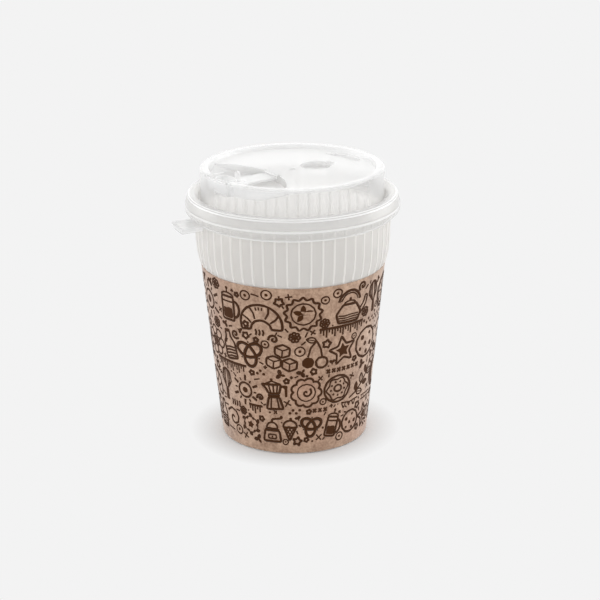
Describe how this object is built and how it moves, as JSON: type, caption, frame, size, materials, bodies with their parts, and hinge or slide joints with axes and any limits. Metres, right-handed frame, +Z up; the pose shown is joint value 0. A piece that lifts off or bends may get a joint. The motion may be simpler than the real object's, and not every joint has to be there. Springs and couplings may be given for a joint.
{
  "type": "takeaway coffee cup",
  "caption": "Tapered takeaway cup with a ribbed grip band, a printed paper sleeve, and a press-on sip lid whose stopper flap flips open on a living hinge.",
  "frame": {"origin": "on the cup's axis, in the plane of the table that its foot stands on", "axes": "+Z up along the cup's axis; the sip side of the lid faces 33 degrees round from -X towards -Y"},
  "size_m": [0.0999, 0.0948, 0.1252],
  "materials": {
    "cup_plastic": "translucent natural polypropylene, frosted",
    "sleeve_paper": "uncoated kraft paper with one dark brown print",
    "lid_plastic": "translucent natural polypropylene, satin"
  },
  "bodies": {
    "cup_body": {"cup": "cup_plastic", "sleeve": "sleeve_paper"},
    "lid_body": {"lid": "lid_plastic"},
    "flap_body": {"sip_flap": "lid_plastic"}
  },
  "joints": [
    {"name": "lid_lift", "type": "slide", "parent": "cup_body", "child": "lid_body", "axis": [0, 0, 1], "range_m": [0, 0.072]},
    {"name": "flap_hinge", "type": "hinge", "parent": "lid_body", "child": "flap_body", "pos_m": [-0.00889, -0.00577, 0.1219], "axis": [-0.5446, 0.8387, 0], "range_deg": [0, 180]}
  ]
}
